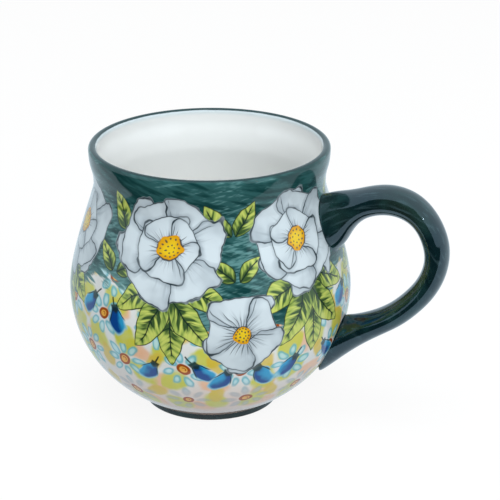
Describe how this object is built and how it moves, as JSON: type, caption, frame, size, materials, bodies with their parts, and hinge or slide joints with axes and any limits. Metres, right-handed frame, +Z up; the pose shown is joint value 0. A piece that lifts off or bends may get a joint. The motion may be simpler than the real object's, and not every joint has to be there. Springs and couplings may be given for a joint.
{
  "type": "stoneware mug",
  "caption": "Round-bellied hand-painted stoneware mug with a flared rim, a turned foot ring and a looped strap handle.",
  "frame": {"origin": "on the axis of the cup, at the plane that the foot ring stands on", "axes": "+Z up along the cup's axis out of its mouth, +X towards the handle"},
  "size_m": [0.1278, 0.094, 0.09],
  "materials": {
    "painted_white_glaze": "gloss",
    "green_banded_foot": "gloss",
    "dark_green_glaze": "gloss",
    "glazed_slip": "gloss"
  },
  "bodies": {
    "root": {"body": "painted_white_glaze", "foot_ring": "green_banded_foot", "handle": "dark_green_glaze", "upper_slip_joint": "glazed_slip", "lower_slip_joint": "glazed_slip"}
  },
  "joints": []
}
